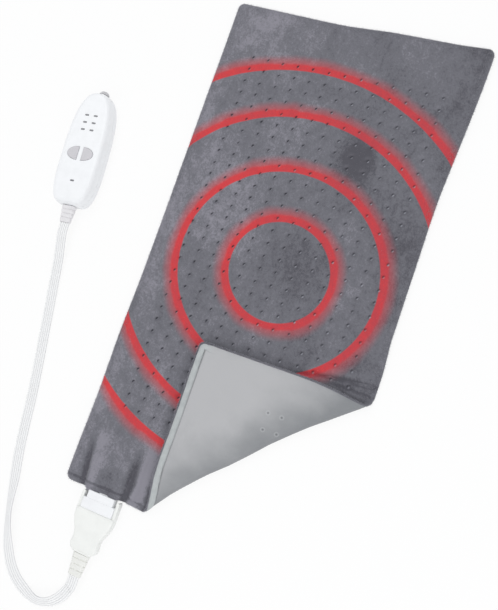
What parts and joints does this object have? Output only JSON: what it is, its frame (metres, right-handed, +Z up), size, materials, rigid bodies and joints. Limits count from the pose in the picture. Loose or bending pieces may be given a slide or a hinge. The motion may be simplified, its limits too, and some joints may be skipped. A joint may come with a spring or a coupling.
{
  "type": "heating pad with controller",
  "caption": "Soft rectangular heating pad with one corner folded over, an edge socket with a latched plug, a flat ribbon cord and a two-button handset controller.",
  "frame": {"origin": "centre of the flat pad's underside, on the surface that the pad lies on", "axes": "+X across the pad to its folded side, +Y along the pad away from the socket, +Z up from the surface"},
  "size_m": [0.4613, 0.7528, 0.0235],
  "materials": {
    "plush": "grey plush pile, matt",
    "lining": "light grey brushed lining",
    "bead": "rolled light grey edge seam",
    "felt": "pale needle felt",
    "wire": "red silicone insulation",
    "white_plastic": "satin white moulding",
    "plug_plastic": "fine matt warm white moulding",
    "cord": "white flat cord with lengthwise ridges",
    "button": "satin light grey button caps",
    "light": "smoke tinted light windows",
    "board": "green circuit board",
    "black_plastic": "black component bodies",
    "brass": "plated contact brass",
    "steel": "zinc plated steel"
  },
  "bodies": {
    "pad": {"cover_front": "plush", "edge_piping": "bead", "cover_back": "lining", "insulation_lower": "felt", "insulation_upper": "felt", "heating_wire": "wire", "thermal_fuse": "steel", "temperature_sensor": "black_plastic", "socket_housing": "white_plastic", "socket_pin_1": "brass", "socket_pin_2": "brass", "socket_pin_3": "brass", "socket_pin_4": "brass"},
    "control_set": {"plug_top_shell": "plug_plastic", "plug_bottom_shell": "plug_plastic", "plug_contact_carrier": "white_plastic", "plug_contact_1": "brass", "plug_contact_2": "brass", "plug_contact_3": "brass", "plug_contact_4": "brass", "plug_strain_relief": "plug_plastic", "ribbon_cord": "cord", "controller_strain_relief": "plug_plastic", "controller_front_shell": "white_plastic", "controller_back_shell": "white_plastic", "circuit_board": "board", "switch_power": "black_plastic", "switch_heat": "black_plastic", "light_1": "light", "light_2": "light", "light_3": "light", "light_4": "light", "light_5": "light", "light_6": "light", "light_power": "light", "capacitor": "black_plastic", "triac": "black_plastic", "screw_1": "steel", "screw_2": "steel", "screw_3": "steel", "screw_4": "steel", "mains_gland": "button"},
    "latch_left": {"latch_left": "plug_plastic"},
    "latch_right": {"latch_right": "plug_plastic"},
    "button_power": {"button_power": "button"},
    "button_heat": {"button_heat": "button"}
  },
  "joints": [
    {"name": "plug_pull", "type": "slide", "parent": "pad", "child": "control_set", "axis": [0, -1, 0], "range_m": [0, 0.032]},
    {"name": "latch_left_squeeze", "type": "hinge", "parent": "control_set", "child": "latch_left", "pos_m": [-0.11975, -0.331, 0.0067], "axis": [0, 0, 1], "range_deg": [0, 6], "stiffness_Nm_per_rad": 0.06},
    {"name": "latch_right_squeeze", "type": "hinge", "parent": "control_set", "child": "latch_right", "pos_m": [-0.07626, -0.331, 0.0067], "axis": [0, 0, -1], "range_deg": [0, 6], "stiffness_Nm_per_rad": 0.06},
    {"name": "button_power_press", "type": "slide", "parent": "control_set", "child": "button_power", "axis": [0, 0, -1], "range_m": [0, 0.0008], "stiffness_N_per_m": 1500},
    {"name": "button_heat_press", "type": "slide", "parent": "control_set", "child": "button_heat", "axis": [0, 0, -1], "range_m": [0, 0.0008], "stiffness_N_per_m": 1500}
  ]
}
